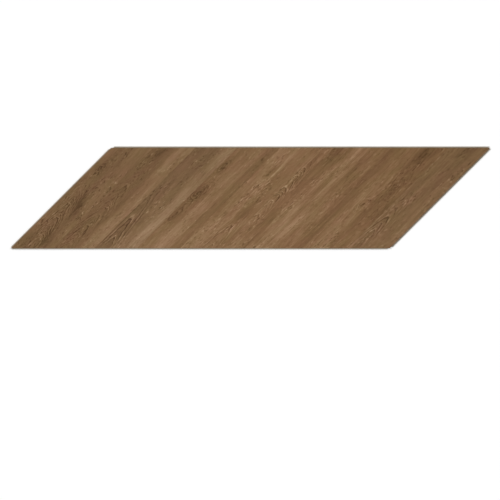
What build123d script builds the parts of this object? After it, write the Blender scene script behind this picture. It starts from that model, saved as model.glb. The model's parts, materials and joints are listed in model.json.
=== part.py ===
from build123d import *
import os
from math import acos, cos, degrees, radians, sin, sqrt, tan

# Rigid vinyl floor plank for a chevron floor, lying on its underside with the wear face up.
# It is one pressed sheet, cut to a parallelogram and milled with a folding click edge on all
# four sides: a groove over a long lower lip on one side of each pair, a tongue over a recess
# on the other. Lips and tongues stop short of the corners. X runs along the long edges, Y across
# them and Z up. The origin is the middle of the face outline, on the underside. Millimetres and
# degrees.

# Face
face_length = 1245.0  # of each long edge
face_width = 330.0  # between the long edges
end_angle = 45.0  # from a long edge to an end
thickness = 5.5
edge_ease = 0.3  # bevel round the rim of the face

# Groove and lower lip
upper_lip = 1.9  # over the groove
lower_lip = 1.2  # under the lowest point of the seat
lock_sweep = 48.0  # of the seat, from below the rim out to the nose
nose_width = 1.0  # flat top of the lip's nose
lip_bevel = 0.3  # at the lip's free end
groove_round = 0.3  # in the groove's inner corners

# Tongue and recess
tongue_sweep = 40.0  # of the tongue's underside, from below the rim out to its tip
tip_round = 0.4
recess_round = 0.3  # where the recess meets the body of the plank

# Clearances of the closed joint
fit_gap = 0.05  # all round the tongue
pocket_gap = 0.2  # beyond the tongue's tip, and over and beyond the lip's nose

# Seat and tongue turn about the rim of the joint, so that a plank folds down into its neighbour.
seat_radius = thickness - lower_lip
tongue_radius = seat_radius - fit_gap


def reach_at(radius, sweep):
    """How far out of the rim an arc about the rim has come, at a sweep from straight below."""
    return radius * sin(radians(sweep))


def height_at(radius, reach):
    """Height above the underside of an arc about the rim, at a reach out of the rim."""
    return thickness - sqrt(radius**2 - reach**2)


tongue_top = thickness - upper_lip - fit_gap
tongue_reach = reach_at(tongue_radius, tongue_sweep)
groove_top = thickness - upper_lip
groove_depth = tongue_reach + pocket_gap
seat_reach = reach_at(seat_radius, lock_sweep)
nose_top = height_at(seat_radius, seat_reach)
lip_reach = seat_reach + nose_width
recess_top = nose_top + pocket_gap
recess_depth = lip_reach + pocket_gap
heel_sweep = degrees(acos((thickness - recess_top) / tongue_radius))
heel_reach = reach_at(tongue_radius, heel_sweep)
corner_relief = recess_depth  # from a corner to the ends of the lips and tongues beside it


def tongue_edge(rim):
    """Draws the edge with the tongue, from the wear face to the underside, at X = rim."""
    tip = rim - tongue_reach
    heel = (rim + heel_reach, recess_top)
    tip_bottom = (tip, height_at(tongue_radius, tongue_reach))
    Polyline((rim + edge_ease, thickness), (rim, thickness - edge_ease), (rim, tongue_top))
    Polyline((rim, tongue_top), (tip, tongue_top), tip_bottom)
    ThreePointArc(tip_bottom, (rim, thickness - tongue_radius), heel)
    Polyline(heel, (rim + recess_depth, recess_top), (rim + recess_depth, 0))


def groove_edge(rim):
    """Draws the edge with the groove, from the wear face to the underside, at X = rim."""
    groove_end = rim - groove_depth
    groove_bottom = (groove_end, height_at(seat_radius, groove_depth))
    nose = (rim + seat_reach, nose_top)
    Polyline((rim - edge_ease, thickness), (rim, thickness - edge_ease), (rim, groove_top))
    Polyline((rim, groove_top), (groove_end, groove_top), groove_bottom)
    ThreePointArc(groove_bottom, (rim, thickness - seat_radius), nose)
    Polyline(nose, (rim + lip_reach, nose_top), (rim + lip_reach, 0))


def corners_at(section, x, y=None):
    """The section's corners at that X, or only the one at that X and Y."""
    near = 0.01
    corners = section.vertices().filter_by_position(Axis.X, x - near, x + near)
    return corners if y is None else corners.filter_by_position(Axis.Y, y - near, y + near)


def plank_section(plane, width):
    """Sketches the plank's section from a tongue edge to the groove edge opposite."""
    tongue_rim = -width / 2
    groove_rim = width / 2
    with BuildSketch(plane) as section:
        with BuildLine():
            tongue_edge(tongue_rim)
            groove_edge(groove_rim)
            Line((tongue_rim + edge_ease, thickness), (groove_rim - edge_ease, thickness))
            Line((tongue_rim + recess_depth, 0), (groove_rim + lip_reach, 0))
        make_face()
        fillet(corners_at(section, tongue_rim - tongue_reach), tip_round)
        fillet(corners_at(section, tongue_rim + recess_depth, recess_top), recess_round)
        fillet(corners_at(section, groove_rim - groove_depth), groove_round)
        chamfer(corners_at(section, groove_rim + lip_reach), lip_bevel)
    return section.sketch


def parallelogram(length, width):
    """Corners of a parallelogram about the origin, with the plank's end angle."""
    lean = width / tan(radians(end_angle))
    front = -width / 2
    back = width / 2
    return [
        (-(length + lean) / 2, front),
        ((length - lean) / 2, front),
        ((length + lean) / 2, back),
        (-(length - lean) / 2, back),
    ]


# The sheet is cut to the face, with stock along each edge for its lip or tongue. Each pair of
# edges is then milled right across.
along_end = Vector(cos(radians(end_angle)), sin(radians(end_angle)), 0)
out_of_end = Vector(sin(radians(end_angle)), -cos(radians(end_angle)), 0)
end_plane = Plane(origin=(0, 0, 0), x_dir=out_of_end, z_dir=-along_end)
end_to_end = face_length * sin(radians(end_angle))
edge_stock = recess_depth
slope = 1 / sin(radians(end_angle))
long_stock = parallelogram(face_length - 2 * corner_relief * slope, face_width + 2 * edge_stock)
end_stock = parallelogram(face_length + 2 * edge_stock * slope, face_width - 2 * corner_relief)
mill_run = face_length + face_width

with BuildPart() as plank:
    with BuildSketch():
        Polygon(*parallelogram(face_length, face_width), align=None)
        Polygon(*long_stock, align=None)
        Polygon(*end_stock, align=None)
    extrude(amount=thickness)
    extrude(plank_section(Plane.YZ, face_width), amount=mill_run, both=True, mode=Mode.INTERSECT)
    extrude(plank_section(end_plane, end_to_end), amount=mill_run, both=True, mode=Mode.INTERSECT)

plank.part.label = "plank"
os.makedirs("parts", exist_ok=True)
export_step(plank.part, "parts/plank.step")
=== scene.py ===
import json
import math
from typing import NamedTuple

import bpy
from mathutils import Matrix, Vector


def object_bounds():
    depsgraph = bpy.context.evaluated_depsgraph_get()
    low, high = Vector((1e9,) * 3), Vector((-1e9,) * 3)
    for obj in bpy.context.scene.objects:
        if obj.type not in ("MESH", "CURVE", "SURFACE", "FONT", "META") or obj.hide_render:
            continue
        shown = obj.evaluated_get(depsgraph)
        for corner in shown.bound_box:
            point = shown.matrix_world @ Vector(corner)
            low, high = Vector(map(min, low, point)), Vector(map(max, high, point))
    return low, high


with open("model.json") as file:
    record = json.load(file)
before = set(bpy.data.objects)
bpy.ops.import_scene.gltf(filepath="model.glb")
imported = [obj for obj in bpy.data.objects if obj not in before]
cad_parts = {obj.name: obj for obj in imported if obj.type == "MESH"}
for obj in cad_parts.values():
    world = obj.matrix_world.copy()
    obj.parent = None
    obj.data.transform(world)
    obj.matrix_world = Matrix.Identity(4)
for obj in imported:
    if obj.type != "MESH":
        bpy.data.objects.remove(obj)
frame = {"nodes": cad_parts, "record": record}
cad_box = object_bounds()

# Face of the plank, in millimetres, from where the record puts the click edges on its rim
MM = 1000.0
mounts = {mount["name"]: mount for mount in frame["record"]["mounts"]}
out_of_end = mounts["end_groove"]["axis"]
FACE_LENGTH = 2 * MM * mounts["end_groove"]["pos_m"][0]
FACE_WIDTH = 2 * MM * mounts["long_groove"]["pos_m"][1]
END_ANGLE = math.atan2(out_of_end[0], -out_of_end[1])
THICKNESS = MM * (cad_box[1][2] - cad_box[0][2])


def upright(x, y):
    """Place along the long edges from the middle, with the lean of the ends taken out."""
    return x - y / math.tan(END_ANGLE)


class Value:
    """A number in a shader tree that takes part in arithmetic."""

    def __init__(self, tree, source):
        self.tree = tree
        self.source = source  # an output socket, or a plain number

    def calc(self, operation, *others):
        """The result of one of the shader's math operations."""
        node = self.tree.nodes.new("ShaderNodeMath")
        node.operation = operation
        for socket, given in zip(node.inputs, (self, *others)):
            feed(self.tree, socket, given)
        return Value(self.tree, node.outputs[0])

    def __add__(self, other):
        return self.calc("ADD", other)

    def __sub__(self, other):
        return self.calc("SUBTRACT", other)

    def __rsub__(self, other):
        return Value(self.tree, other).calc("SUBTRACT", self)

    def __mul__(self, other):
        return self.calc("MULTIPLY", other)

    def __truediv__(self, other):
        return self.calc("DIVIDE", other)

    def __neg__(self):
        return self.calc("MULTIPLY", -1.0)

    __radd__ = __add__
    __rmul__ = __mul__

    def square(self):
        return self.calc("MULTIPLY", self)

    def fract(self):
        return self.calc("FRACT")

    def bell(self):
        """1 at zero, falling to 0 on both sides over about two units."""
        return (-self.square()).calc("EXPONENT")

    def rise(self, low, high):
        """Climbs smoothly from 0 at low to 1 at high."""
        node = self.tree.nodes.new("ShaderNodeMapRange")
        node.interpolation_type = "SMOOTHSTEP"
        feed(self.tree, node.inputs["Value"], self)
        feed(self.tree, node.inputs["From Min"], low)
        feed(self.tree, node.inputs["From Max"], high)
        return Value(self.tree, node.outputs["Result"])

    def mix(self, low, high):
        """low where this is 0, high where it is 1."""
        return low + self * (high - low)


def feed(tree, socket, given):
    """Links a value to a socket, or sets a plain number or colour on it."""
    source = given.source if isinstance(given, Value) else given
    if isinstance(source, bpy.types.NodeSocket):
        tree.links.new(source, socket)
    else:
        socket.default_value = source


def vector(tree, x, y, z):
    """Three values together."""
    node = tree.nodes.new("ShaderNodeCombineXYZ")
    for socket, given in zip(node.inputs, (x, y, z)):
        feed(tree, socket, given)
    return Value(tree, node.outputs[0])


def noise(tree, x, y, z, detail=2.0):
    """Smooth noise about zero, mostly within plus or minus one, one unit to a swell."""
    node = tree.nodes.new("ShaderNodeTexNoise")
    feed(tree, node.inputs["Vector"], vector(tree, x, y, z))
    node.inputs["Scale"].default_value = 1.0
    node.inputs["Detail"].default_value = detail
    return (Value(tree, node.outputs["Fac"]) - 0.5) * 4.0


def lookup(tree, index, values):
    """The value at a whole-number index, from a list of plain numbers."""
    low = min(values)
    span = max(values) - low or 1.0
    node = tree.nodes.new("ShaderNodeValToRGB")
    ramp = node.color_ramp
    ramp.interpolation = "CONSTANT"
    while len(ramp.elements) < len(values):
        ramp.elements.new(0.5)
    for k, value in enumerate(values):
        level = (value - low) / span
        ramp.elements[k].position = k / len(values)
        ramp.elements[k].color = (level, level, level, 1.0)
    feed(tree, node.inputs["Fac"], (index + 0.5) / len(values))
    return Value(tree, node.outputs["Color"]) * span + low


def linear(rgb):
    """A colour as a screen shows it, from 0 to 255, as the light that a shader works in."""
    parts = [c / 255.0 for c in rgb]
    return [c / 12.92 if c <= 0.04045 else ((c + 0.055) / 1.055) ** 2.4 for c in parts] + [1.0]


def shade(tree, position, stops):
    """Colours along a scale, from (place, screen colour) stops."""
    node = tree.nodes.new("ShaderNodeValToRGB")
    ramp = node.color_ramp
    while len(ramp.elements) < len(stops):
        ramp.elements.new(0.5)
    for element, (place, rgb) in zip(ramp.elements, stops):
        element.position = place
        element.color = linear(rgb)
    feed(tree, node.inputs["Fac"], position)
    return Value(tree, node.outputs["Color"])


def blend(tree, amount, low, high):
    """One colour fading into another."""
    node = tree.nodes.new("ShaderNodeMix")
    node.data_type = "RGBA"
    feed(tree, node.inputs["Factor"], amount)
    feed(tree, node.inputs["A"], low)
    feed(tree, node.inputs["B"], high)
    return Value(tree, node.outputs["Result"])


# The print is a row of oak strips, with their grain along the ends of the plank. Places across a strip run
# from 0 at its left side to 1 at its right, and places along it from 0 at the back edge to 1 at the front.
# Other sizes are in millimetres, and a strength (by) is in steps of tone, dark below zero.


class Band(NamedTuple):
    """A band of shade along the grain."""

    start: float  # across the strip
    end: float
    soft: float  # half the width over which a side fades
    by: float


class Figure(NamedTuple):
    """Cathedrals, where the rings are cut flat."""

    across: float
    along: float
    half_width: float
    half_length: float
    lean: float
    spread: float  # of one arch
    arch: float  # length from one arch to the next
    by: float


class Mark(NamedTuple):
    """A smear or a streak."""

    across: float
    along: float
    half_width: float
    half_length: float
    lean: float
    by: float


class Knot(NamedTuple):
    """A knot with rings close about it."""

    across: float
    along: float
    half_width: float
    half_length: float
    by: float


class Strip(NamedTuple):
    """One printed oak strip."""

    tone: float  # its own shade
    fade: float  # how much lighter it is at the front edge than in the middle
    drift: float  # lean of the grain off the strip's length
    warm: float  # how much warmer its colour is, or greyer below zero
    straight: float  # strength of the straight streaks
    flecked: float  # strength of the short dashes
    dark: Band
    light: Band
    figure: Figure
    marks: list
    knots: list


# From the left end to the right
STRIPS = [
    Strip(
        tone=-0.28, fade=0.00, drift=-0.06, warm=-0.020, straight=0.8, flecked=1.2,
        dark=Band(0.30, 0.72, 8, -0.20),
        light=Band(0.74, 0.98, 6, 0.15),
        figure=Figure(0.30, 0.75, 18, 190, 0.00, 9, 24, 1.6),
        marks=[
            Mark(0.03, 0.15, 8, 90, 0.0, 0.3),
            Mark(0.10, 0.90, 14, 70, 0.0, -0.3),
            Mark(0.36, 0.25, 4, 10, 0.0, 0.5),
            Mark(0.57, 0.58, 11, 50, -0.2, -1.2),
            Mark(0.50, 0.88, 8, 40, -0.1, -0.6),
            Mark(0.84, 0.84, 7, 45, 0.0, 0.3),
        ],
        knots=[Knot(0.31, 0.21, 8, 24, -1.2)],
    ),
    Strip(
        tone=-0.08, fade=0.07, drift=-0.01, warm=-0.015, straight=0.7, flecked=1.0,
        dark=Band(-0.02, 0.60, 6, -0.45),
        light=Band(0.66, 1.05, 6, 0.36),
        figure=Figure(0.24, 0.75, 20, 170, 0.00, 9, 20, 1.6),
        marks=[
            Mark(0.33, 0.04, 10, 30, 0.0, -0.5),
            Mark(0.82, 0.84, 14, 70, 0.0, 0.2),
        ],
        knots=[],
    ),
    Strip(
        tone=0.05, fade=0.16, drift=0.00, warm=-0.030, straight=0.8, flecked=1.3,
        dark=Band(-0.05, 0.32, 6, -0.58),
        light=Band(0.70, 1.05, 3, 0.42),
        figure=Figure(0.16, 0.80, 20, 140, -0.07, 13, 110, 2.6),
        marks=[
            Mark(0.52, 0.07, 14, 60, 0.0, -0.35),
            Mark(0.46, 0.50, 16, 400, 0.0, -0.32),
            Mark(0.48, 0.62, 9, 34, 0.0, 0.35),
            Mark(0.50, 0.92, 18, 60, 0.0, 0.25),
            Mark(0.84, 0.86, 15, 70, 0.0, 0.2),
        ],
        knots=[],
    ),
    Strip(
        tone=0.08, fade=0.10, drift=0.00, warm=0.000, straight=0.9, flecked=0.9,
        dark=Band(0.74, 1.05, 2, -0.40),
        light=Band(0.36, 0.74, 5, 0.28),
        figure=Figure(0.14, 0.45, 12, 130, 0.00, 8, 24, 0.7),
        marks=[
            Mark(0.18, 0.45, 14, 36, 0.0, -0.35),
            Mark(0.50, 0.80, 16, 70, 0.0, 0.25),
            Mark(0.92, 0.85, 12, 60, 0.0, 0.35),
        ],
        knots=[
            Knot(0.15, 0.45, 15, 34, -1.2),
            Knot(0.09, 0.66, 8, 28, -1.4),
            Knot(0.11, 0.18, 8, 26, -1.0),
        ],
    ),
    Strip(
        tone=0.22, fade=0.05, drift=-0.01, warm=0.010, straight=1.0, flecked=1.25,
        dark=Band(0.60, 0.95, 8, -0.10),
        light=Band(0.05, 0.52, 6, 0.15),
        figure=Figure(0.69, 0.88, 20, 70, 0.00, 12, 60, 1.3),
        marks=[
            Mark(0.37, 0.23, 6, 24, 0.1, -0.8),
            Mark(0.50, 0.20, 4, 50, 0.0, 0.8),
            Mark(0.67, 0.65, 13, 30, -0.2, -0.6),
        ],
        knots=[],
    ),
    Strip(
        tone=0.06, fade=0.22, drift=0.00, warm=0.010, straight=1.5, flecked=1.2,
        dark=Band(0.28, 0.52, 4, -0.46),
        light=Band(0.72, 1.05, 3, 0.32),
        figure=Figure(0.06, 0.42, 16, 110, 0.00, 10, 26, 2.8),
        marks=[
            Mark(0.02, 0.35, 5, 180, 0.0, 0.35),
            Mark(0.36, 0.88, 12, 70, 0.0, 0.4),
            Mark(0.82, 0.62, 10, 50, 0.0, 0.25),
            Mark(0.80, 0.92, 18, 60, 0.0, -0.3),
        ],
        knots=[],
    ),
    Strip(
        tone=0.02, fade=0.17, drift=0.00, warm=0.010, straight=1.2, flecked=0.8,
        dark=Band(0.66, 0.92, 4, -0.46),
        light=Band(-0.05, 0.19, 2, 0.28),
        figure=Figure(0.50, 0.50, 14, 120, 0.00, 8, 24, 0.5),
        marks=[
            Mark(0.12, 0.84, 8, 50, 0.0, 0.6),
            Mark(0.26, 0.18, 8, 60, 0.0, -0.4),
        ],
        knots=[],
    ),
    Strip(
        tone=-0.12, fade=0.23, drift=-0.02, warm=0.010, straight=1.4, flecked=1.4,
        dark=Band(0.44, 1.05, 5, -0.33),
        light=Band(-0.05, 0.42, 5, 0.28),
        figure=Figure(0.70, 0.30, 15, 130, 0.00, 10, 30, 0.6),
        marks=[
            Mark(0.69, 0.08, 17, 36, 0.0, -0.45),
            Mark(0.71, 0.14, 3, 10, 0.0, 0.6),
            Mark(0.55, 0.92, 9, 60, 0.0, 0.3),
            Mark(0.68, 0.45, 9, 70, -0.15, -0.4),
            Mark(0.92, 0.67, 3, 36, 0.0, -0.6),
        ],
        knots=[Knot(0.69, 0.07, 12, 20, -0.4)],
    ),
    Strip(
        tone=-0.15, fade=0.25, drift=0.00, warm=-0.015, straight=1.1, flecked=1.3,
        dark=Band(0.10, 0.66, 10, -0.18),
        light=Band(-0.05, 0.05, 2, 0.25),
        figure=Figure(0.20, 0.74, 20, 110, 0.00, 9, 34, 2.0),
        marks=[
            Mark(0.53, 0.03, 10, 20, 0.0, -0.5),
            Mark(0.36, 0.10, 6, 12, 0.0, 0.4),
            Mark(0.62, 0.30, 15, 80, 0.0, -0.25),
        ],
        knots=[Knot(0.40, 0.09, 8, 14, -0.6)],
    ),
]
STRIP_PITCH = FACE_LENGTH / len(STRIPS)
STRIP_WIDTH = STRIP_PITCH * math.sin(END_ANGLE)
GRAIN_LENGTH = FACE_WIDTH / math.sin(END_ANGLE)


class Grain(NamedTuple):
    """Noise drawn out along the grain."""

    wide: float  # of a swell
    long: float
    seed: float
    detail: float = 1.0  # number of finer layers


class Patches(NamedTuple):
    """Places where such noise is high: none below one level of it, full above another."""

    grain: Grain
    none: float
    full: float


SEED_STEP = 7.31  # from strip to strip

# How the grain wanders, and how far
SWAY_LENGTH = 190.0  # of a whole strip
SWAY_SEED = 0.5
SWAY_BY = 2.5
FRAY = Grain(5.0, 40.0, 2.3, detail=2.0)  # of lines along the grain
FRAY_BY = 2.5
RAGGED = Grain(4.0, 80.0, 4.1, detail=2.0)  # where marks and cathedrals end
RAGGED_BY = 30.0
BEND = Grain(9.0, 20.0, 5.3)  # of a knot's rings
BEND_BY = 5.0

# Slow swells of a strip's shade and of its bands, and the dark line at its sides
SWELL = Grain(45.0, 150.0, 8.3, detail=2.0)
SWELL_BY = 0.16
BAND_LEVEL = 0.9
BAND_SWELL_BY = 0.2
SEAM_LINE = (0.3, 1.2)  # where the line begins to fade, and where it is gone
SEAM_BY = -0.25

# Straight streaks of several widths
STREAKS = [
    (Grain(14.0, 130.0, 0.0), 0.22),
    (Grain(6.0, 110.0, 3.7), 0.16),
    (Grain(2.8, 60.0, 5.9), 0.19),
    (Grain(0.9, 60.0, 7.7), 0.22),
]

# Short dashes: tufts, and the hairs that they are made of, thin in some places and thick in others
DASH_PATCHES = Patches(Grain(20.0, 90.0, 21.3), -0.5, 1.0)
DASHES_THIN = 0.2
DASHES_THICK = 1.3
DASHES = [
    (Patches(Grain(4.2, 13.0, 12.3), 0.2, 0.7), Patches(Grain(0.8, 14.0, 13.6), -0.35, 0.35), -1.25),
    (Patches(Grain(4.2, 16.0, 15.1), 0.2, 0.7), Patches(Grain(0.8, 14.0, 16.4), -0.35, 0.35), 0.95),
]

# Flecks, in patches of their own and about the cathedrals
FLECK_PATCHES = Patches(Grain(18.0, 70.0, 11.7), 0.0, 1.2)
FLECKS_APART = 0.5
FLECKS_ABOUT = 0.7
FLECKS_REACH = 1.6  # times the cathedrals' own
FLECKS = [
    (Patches(Grain(3.8, 15.0, 2.7), 0.25, 0.9), -0.7),
    (Patches(Grain(3.8, 17.0, 6.4), 0.25, 0.9), 0.6),
]

# Course of the cathedrals' rings
ARCH_TIP = 0.3  # roundness of an arch's tip
ARCH_POWER = 0.75  # how steeply its sides run down
ARCH_FRAY = 1 / 3  # its share of a line's fray
RING_WAVES = Grain(40.0, 60.0, 9.1, detail=2.0)
RING_WAVES_BY = 20.0
RING_SPACING = 2.5  # number of rings from a close stretch to a wide one
RING_SPACING_SEED = 0.7
RING_SPACING_BY = 0.6  # of a ring
RING_FRAY = Grain(4.0, 22.0, 3.3)
RING_FRAY_BY = 0.13  # of a ring

# Dark line of late wood at the end of a ring, and light early wood after it
TIP_LINE = 0.18  # share of a ring, at the tip of an arch
SIDE_LINE = 0.55  # and down its sides
LATE_FULL = (0.40, 0.25)  # shares of the dark line still to come, from where to where it is full
LATE_BREAKS = Patches(Grain(0.8, 16.0, 23.5), -0.5, 0.4)
LATE_FAINT = 0.4
LATE_STRONG = 1.2
EARLY_FULL = 0.3  # where the light line is full and where it ends, as shares of the dark one
EARLY_END = 1.2
EARLY_BY = 0.5
BOLD_STEP = 0.71  # from ring to ring
BOLD_LENGTH = 60.0  # from a bold stretch of a ring to a faint one
BOLD_BY = 0.5

# Knots, with dark lines in their rings
KNOT_RING = 5.0  # from one ring to the next, across
KNOT_LINE = (0.2, 0.6)  # share of a ring over which a line darkens
KNOT_LINE_END = (0.75, 1.0)  # and over which it fades
KNOT_GROUND = 0.25  # darkness between the lines
KNOT_REACH = 1.25  # times its own half width and half length

# Open pores in rows, fewer in the late wood
PORES = Patches(Grain(0.5, 12.0, 1.9), 0.25, 0.7)
PORE_ROWS = Patches(Grain(3.0, 120.0, 17.9), -0.8, 0.8)
PORES_IN_LATE = 0.45
PORES_BY = -0.7


class OakPrint:
    """Strips of oak print side by side, worked out in a shader tree from the place on the face."""

    def __init__(self, tree, x, y):
        self.tree = tree
        from_end = (upright(x, y) + FACE_LENGTH / 2) / STRIP_PITCH
        self.strip = from_end.calc("FLOOR").calc("MAXIMUM", 0.0).calc("MINIMUM", len(STRIPS) - 1.0)
        self.seed = self.strip * SEED_STEP
        self.along = y * (GRAIN_LENGTH / FACE_WIDTH)
        sway = noise(tree, self.along / SWAY_LENGTH, self.seed, SWAY_SEED) * SWAY_BY
        off_middle = (from_end - self.strip - 0.5) * STRIP_WIDTH
        self.to_seam = STRIP_WIDTH / 2 - off_middle.calc("ABSOLUTE")
        self.across = off_middle - self.along * self.pick("drift") + sway
        self.fray = self.grain(FRAY) * FRAY_BY
        self.frayed = self.across + self.fray
        self.ragged = self.along + self.grain(RAGGED) * RAGGED_BY
        self.bent = self.along + self.grain(BEND) * BEND_BY

    def pick(self, name):
        """The strip's own value of that name."""
        return lookup(self.tree, self.strip, [getattr(strip, name) for strip in STRIPS])

    def picks(self, name):
        """The strip's own values, where several go under that name."""
        columns = zip(*[getattr(strip, name) for strip in STRIPS])
        return [lookup(self.tree, self.strip, values) for values in columns]

    def grain(self, field):
        """Noise drawn out along the grain, with its own course in each strip."""
        across = self.across / field.wide
        along = self.along / field.long
        return noise(self.tree, across, along, self.seed + field.seed, field.detail)

    def patches(self, places):
        """1 in such patches and 0 between them, with soft sides."""
        return self.grain(places.grain).rise(places.none, places.full)

    def sideways(self, place):
        """Distance across the grain from a place in the strip, frayed."""
        return self.frayed - (place - 0.5) * STRIP_WIDTH

    def endways(self, place):
        """Distance along the grain from a place in the strip, ragged."""
        return self.ragged - (0.5 - place) * GRAIN_LENGTH

    def bands(self):
        """The strip's own shade, its two bands, slow swells and the line at its sides."""
        swell = self.grain(SWELL)
        tone = self.pick("tone") - self.along / (GRAIN_LENGTH / 2) * self.pick("fade") + swell * SWELL_BY
        for name in ("dark", "light"):
            start, end, soft, by = self.picks(name)
            begun = (self.sideways(start) / soft).rise(-1.0, 1.0)
            ended = (self.sideways(end) / soft).rise(-1.0, 1.0)
            tone = tone + (begun - ended) * by * (swell * BAND_SWELL_BY + BAND_LEVEL)
        return tone + (1.0 - self.to_seam.rise(*SEAM_LINE)) * SEAM_BY

    def fibres(self):
        """Straight streaks and short dashes."""
        tone = sum(self.grain(streak) * by for streak, by in STREAKS) * self.pick("straight")
        thick = self.patches(DASH_PATCHES).mix(DASHES_THIN, DASHES_THICK) * self.pick("flecked")
        for tufts, hairs, by in DASHES:
            tone = tone + self.patches(tufts) * self.patches(hairs) * thick * by
        return tone

    def figure(self):
        """Late and early wood of the rings, how strongly they show, and where flecks lie about them."""
        at, middle, half_width, half_length, lean, spread, arch, by = self.picks("figure")
        end = self.endways(middle)
        side = self.across + self.fray * ARCH_FRAY - (at - 0.5) * STRIP_WIDTH
        side = side - (self.along - (0.5 - middle) * GRAIN_LENGTH) * lean

        # Rings, counted along the grain
        turn = self.along / arch + ((side / spread).square() + ARCH_TIP).calc("POWER", ARCH_POWER)
        wave_along = self.along / RING_WAVES.long
        wave_across = self.across / RING_WAVES.wide
        waves = noise(self.tree, wave_along, wave_across, self.seed + RING_WAVES.seed, RING_WAVES.detail)
        turn = turn + waves * RING_WAVES_BY / arch
        spacing = noise(self.tree, turn / RING_SPACING, self.seed + RING_SPACING_SEED, 0.0, detail=0.0)
        turn = turn + spacing * RING_SPACING_BY + self.grain(RING_FRAY) * RING_FRAY_BY

        # The dark line begins slowly and ends sharply
        ring = turn.fract()
        line = (side / spread).bell().mix(SIDE_LINE, TIP_LINE)
        full, fading = [1.0 - line * left for left in LATE_FULL]
        late = ring.rise(1.0 - line, full) - ring.rise(fading, 1.0)
        late = late * self.patches(LATE_BREAKS).mix(LATE_FAINT, LATE_STRONG)
        early = ring.rise(0.0, line * EARLY_FULL) - ring.rise(line * EARLY_FULL, line * EARLY_END)

        number = turn.calc("FLOOR") * BOLD_STEP
        bold = noise(self.tree, number, self.seed, self.along / BOLD_LENGTH, detail=0.0) * BOLD_BY + 1.0
        shows = (side / half_width).bell() * (end / half_length).bell() * by * bold
        about = (side / (half_width * FLECKS_REACH)).bell() * (end / (half_length * FLECKS_REACH)).bell()
        return late, early, shows, about

    def flecks(self, about):
        """Dark and light flecks."""
        thick = self.patches(FLECK_PATCHES) * FLECKS_APART + about * FLECKS_ABOUT
        return sum(self.patches(flecks) * by for flecks, by in FLECKS) * thick

    def mark(self, mark):
        """One smear or streak."""
        end = self.endways(mark.along)
        side = self.sideways(mark.across) - end * mark.lean
        spread = (side / mark.half_width).square() + (end / mark.half_length).square()
        return (-spread).calc("EXPONENT") * mark.by

    def knot(self, knot):
        """One knot, with dark rings that fade outwards."""
        end = (self.bent - (0.5 - knot.along) * GRAIN_LENGTH) / knot.half_length
        side = self.sideways(knot.across) / knot.half_width
        out = (end.square() + side.square()).calc("SQRT")
        ring = (out * (knot.half_width / KNOT_RING)).fract()
        dark = ring.rise(*KNOT_LINE) - ring.rise(*KNOT_LINE_END) + KNOT_GROUND
        return dark * (out / KNOT_REACH).bell() * knot.by

    def spots(self):
        """The marks and knots of every strip."""
        tone = 0.0
        for number, strip in enumerate(STRIPS):
            here = self.strip.calc("COMPARE", float(number), 0.5)
            shades = [self.mark(mark) for mark in strip.marks] + [self.knot(knot) for knot in strip.knots]
            tone = here * sum(shades) + tone
        return tone

    def pores(self, late):
        """Open pores, short and narrow."""
        return self.patches(PORES) * late.mix(1.0, PORES_IN_LATE) * self.patches(PORE_ROWS)


# Screen colours of the oak from dark to light, redder in some places and more olive in others
REDDER_OAK = [(0.0, (79, 51, 29)), (0.5, (128, 95, 66)), (1.0, (174, 141, 110))]
OLIVE_OAK = [(0.0, (75, 53, 27)), (0.5, (124, 96, 63)), (1.0, (170, 142, 108))]
TONE_STEP = 0.27  # of the way from dark to light
HUE = Grain(26.0, 80.0, 13.9)
HUE_BY = 0.55
WARM_HUE = 6.0  # shift towards red with a strip's warmth

# Film under the print, and the speckled and clouded core
FILM_COLOUR = (84, 66, 48)
CORE_COLOURS = [(0.0, (138, 128, 114)), (0.5, (170, 160, 145)), (1.0, (192, 184, 170))]
SPECK_SIZE = 0.9
SPECK_BY = 0.12
CLOUD_WIDTH = 60.0
CLOUD_HEIGHT = 9.0
CLOUD_BY = 0.08

# Depths below the face over which the print gives way to the film, and the film to the core
PRINT_END = (0.06, 0.02)
FILM_END = (0.62, 0.52)

# Relief and sheen of the wear layer
EMBOSSED = Grain(0.8, 40.0, 6.1, detail=2.0)
EMBOSSED_HEIGHT = 0.02
PORE_DEPTH = 0.06
RING_DEPTH = 0.03
FACE_ROUGHNESS = 0.58
PORE_ROUGHNESS = 0.15  # added in the pores
FIBRE_ROUGHNESS = 0.03  # and along the fibres
CORE_ROUGHNESS = 0.8
SPECULAR = 0.12


def oak_colour(tree, oak, tone):
    """Dark heartwood to light sapwood."""
    scale = tone * TONE_STEP + 0.5
    warm = oak.pick("warm")
    hue = oak.grain(HUE) * HUE_BY + warm * WARM_HUE + 0.5
    colour = blend(tree, hue, shade(tree, scale, OLIVE_OAK), shade(tree, scale, REDDER_OAK))
    node = tree.nodes.new("ShaderNodeHueSaturation")
    feed(tree, node.inputs["Saturation"], warm + 1.0)
    feed(tree, node.inputs["Color"], colour)
    return Value(tree, node.outputs["Color"])


def core_colour(tree, x, y, z):
    """Warm grey, finely speckled."""
    speck = noise(tree, x / SPECK_SIZE, y / SPECK_SIZE, z / SPECK_SIZE)
    cloud = noise(tree, x / CLOUD_WIDTH, y / CLOUD_WIDTH, z / CLOUD_HEIGHT)
    return shade(tree, speck * SPECK_BY + cloud * CLOUD_BY + 0.5, CORE_COLOURS)


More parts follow.
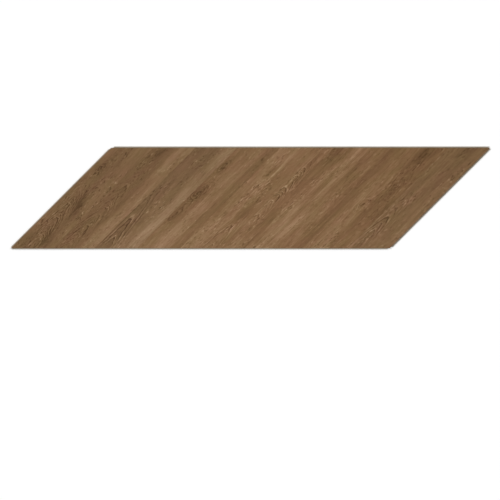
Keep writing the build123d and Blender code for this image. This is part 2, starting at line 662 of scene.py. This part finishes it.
def printed_oak():
    """Rigid vinyl: an oak print under a clear embossed wear layer, on a mineral-filled core."""
    material = bpy.data.materials.new("printed_oak")
    material.use_nodes = True
    tree = material.node_tree
    shader = tree.nodes["Principled BSDF"]

    place = tree.nodes.new("ShaderNodeTexCoord")
    split = tree.nodes.new("ShaderNodeSeparateXYZ")
    tree.links.new(place.outputs["Object"], split.inputs[0])
    x, y, z = [Value(tree, socket) * MM for socket in split.outputs]
    film = z.rise(*[THICKNESS - depth for depth in FILM_END])
    top = z.rise(*[THICKNESS - depth for depth in PRINT_END])

    oak = OakPrint(tree, x, y)
    late, early, shows, about = oak.figure()
    pore = oak.pores(late)
    tone = oak.bands() + oak.fibres() + (early * EARLY_BY - late) * shows
    tone = tone + oak.flecks(about) + oak.spots() + pore * PORES_BY
    edge = blend(tree, film, core_colour(tree, x, y, z), linear(FILM_COLOUR))
    feed(tree, shader.inputs["Base Color"], blend(tree, top, edge, oak_colour(tree, oak, tone)))

    fibre = oak.grain(EMBOSSED)
    height = fibre * EMBOSSED_HEIGHT - pore * PORE_DEPTH - late * shows * RING_DEPTH
    bump = tree.nodes.new("ShaderNodeBump")
    bump.inputs["Distance"].default_value = 1.0 / MM
    bump.inputs["Strength"].default_value = 1.0
    feed(tree, bump.inputs["Height"], height * top)
    tree.links.new(bump.outputs["Normal"], shader.inputs["Normal"])
    face_roughness = FACE_ROUGHNESS + pore * PORE_ROUGHNESS + fibre * FIBRE_ROUGHNESS
    feed(tree, shader.inputs["Roughness"], top.mix(CORE_ROUGHNESS, face_roughness))
    shader.inputs["Specular IOR Level"].default_value = SPECULAR
    return material


# Rows of a square picture of the whole surface, from 0 at its foot to 1 at its top: the four edges, the
# underside and the face
EDGE_PITCH = 0.037
ROW_GAP = 0.002
EDGE_ROWS = [(k * EDGE_PITCH + ROW_GAP, (k + 1) * EDGE_PITCH) for k in range(4)]
UNDERSIDE_ROWS = (0.152, 0.210)
FACE_ROWS = (0.214, 0.998)

# Places in an edge's row
EDGE_FOOT = 0.2  # of the underside
EDGE_SHARE = 0.6  # for the plank's thickness
EDGE_DROP = 0.25  # millimetres down for each one out of the rim, which gives level ledges a height

LEVEL = 0.99  # least upright part of a level face's normal
NEAR = 0.01  # to the face or the underside


def outward(x, y):
    """How far a place lies beyond the front, back, left and right rim."""
    end = upright(x, y)
    return [
        -y - FACE_WIDTH / 2,
        y - FACE_WIDTH / 2,
        (-end - FACE_LENGTH / 2) * math.sin(END_ANGLE),
        (end - FACE_LENGTH / 2) * math.sin(END_ANGLE),
    ]


def lay_out(piece):
    """Maps the plank to a square picture, with its print over most of it and the strips upright."""
    mesh = piece.data
    layer = mesh.uv_layers.new(name="OFBake")
    full_length = FACE_LENGTH + FACE_WIDTH / math.tan(END_ANGLE) + 2 * THICKNESS
    full_width = FACE_WIDTH + 2 * THICKNESS
    for polygon in mesh.polygons:
        centre = polygon.center * MM
        level = abs(polygon.normal.z) > LEVEL
        reach = outward(centre.x, centre.y)
        edge = reach.index(max(reach))
        for corner in polygon.loop_indices:
            x, y, z = mesh.vertices[mesh.loops[corner].vertex_index].co * MM
            across = 0.5 + x / full_length
            if level and centre.z > THICKNESS - NEAR:
                rows = FACE_ROWS
                across = 0.5 + upright(x, y) / FACE_LENGTH
                up = 0.5 + y / FACE_WIDTH
            elif level and centre.z < NEAR:
                rows = UNDERSIDE_ROWS
                up = 0.5 + y / full_width
            else:
                rows = EDGE_ROWS[edge]
                up = EDGE_FOOT + EDGE_SHARE * (z - EDGE_DROP * outward(x, y)[edge]) / THICKNESS
            layer.uv[corner].vector = (across, rows[0] + up * (rows[1] - rows[0]))


plank = frame["nodes"]["plank"]
plank.data.materials.clear()
plank.data.materials.append(printed_oak())
lay_out(plank)

# Surroundings, in metres
FLOOR_SIZE = 60.0
FLOOR_COLOUR = (0.88, 0.88, 0.88, 1.0)
FLOOR_GLOW = 0.16  # brings the seen floor up to white
SKY_COLOUR = (1.0, 1.0, 1.0, 1.0)
SKY_LIGHT = 0.5  # on the plank and the floor
SKY_SEEN = 1.0  # by the camera and in reflections
LAMP_BREADTH = math.radians(35)


def seen_by(tree, *rays):
    """1 for any of these kinds of ray and 0 for the rest."""
    path = tree.nodes.new("ShaderNodeLightPath")
    seen = Value(tree, 0.0)
    for ray in rays:
        seen = seen.calc("MAXIMUM", Value(tree, path.outputs[ray]))
    return seen


def white_floor():
    """A matt white floor that keeps the plank's shadow."""
    material = bpy.data.materials.new("white_floor")
    material.use_nodes = True
    tree = material.node_tree
    tree.nodes.remove(tree.nodes["Principled BSDF"])
    matt = tree.nodes.new("ShaderNodeBsdfDiffuse")
    matt.inputs["Color"].default_value = FLOOR_COLOUR
    glow = tree.nodes.new("ShaderNodeEmission")
    feed(tree, glow.inputs["Strength"], seen_by(tree, "Is Camera Ray", "Is Glossy Ray") * FLOOR_GLOW)
    both = tree.nodes.new("ShaderNodeAddShader")
    tree.links.new(matt.outputs[0], both.inputs[0])
    tree.links.new(glow.outputs[0], both.inputs[1])
    tree.links.new(both.outputs[0], tree.nodes["Material Output"].inputs["Surface"])
    return material


bpy.ops.mesh.primitive_plane_add(size=FLOOR_SIZE, location=(0.0, 0.0, cad_box[0][2]))
floor = bpy.context.object
floor.name = "floor"
floor.data.materials.append(white_floor())

# Soft, even light from both sides, and a white surround
scene = bpy.context.scene
world = bpy.data.worlds.new("surround")
world.use_nodes = True
scene.world = world
sky = world.node_tree
background = sky.nodes["Background"]
seen = seen_by(sky, "Is Camera Ray", "Is Glossy Ray", "Is Transmission Ray")
feed(sky, background.inputs["Strength"], seen.mix(SKY_LIGHT, SKY_SEEN))
background.inputs["Color"].default_value = SKY_COLOUR


def lamp(name, azimuth, elevation, strength):
    """A broad lamp far off, at an azimuth clockwise from the back and an elevation, in degrees."""
    data = bpy.data.lights.new(name, "SUN")
    data.energy = strength
    data.angle = LAMP_BREADTH
    item = bpy.data.objects.new(name, data)
    item.rotation_euler = (math.radians(90 - elevation), 0.0, math.radians(180 - azimuth))
    scene.collection.objects.link(item)


lamp("key", azimuth=-50, elevation=48, strength=1.35)
lamp("fill", azimuth=60, elevation=40, strength=0.75)

# Straight down, at the photograph's scale and with the face at its place in the frame, in pixels
PHOTO_SIZE = 500
FACE_LENGTH_SEEN = 379.0
FACE_MIDDLE_SEEN = (250.5, 198.0)
CAMERA_HEIGHT = 3.0
pixel = FACE_LENGTH / MM / FACE_LENGTH_SEEN
camera_data = bpy.data.cameras.new("camera")
camera_data.type = "ORTHO"
camera_data.ortho_scale = PHOTO_SIZE * pixel
camera = bpy.data.objects.new("camera", camera_data)
camera.location = (
    (PHOTO_SIZE / 2 - FACE_MIDDLE_SEEN[0]) * pixel,
    (FACE_MIDDLE_SEEN[1] - PHOTO_SIZE / 2) * pixel,
    CAMERA_HEIGHT,
)
scene.collection.objects.link(camera)
scene.camera = camera

scene.view_settings.view_transform = "Standard"
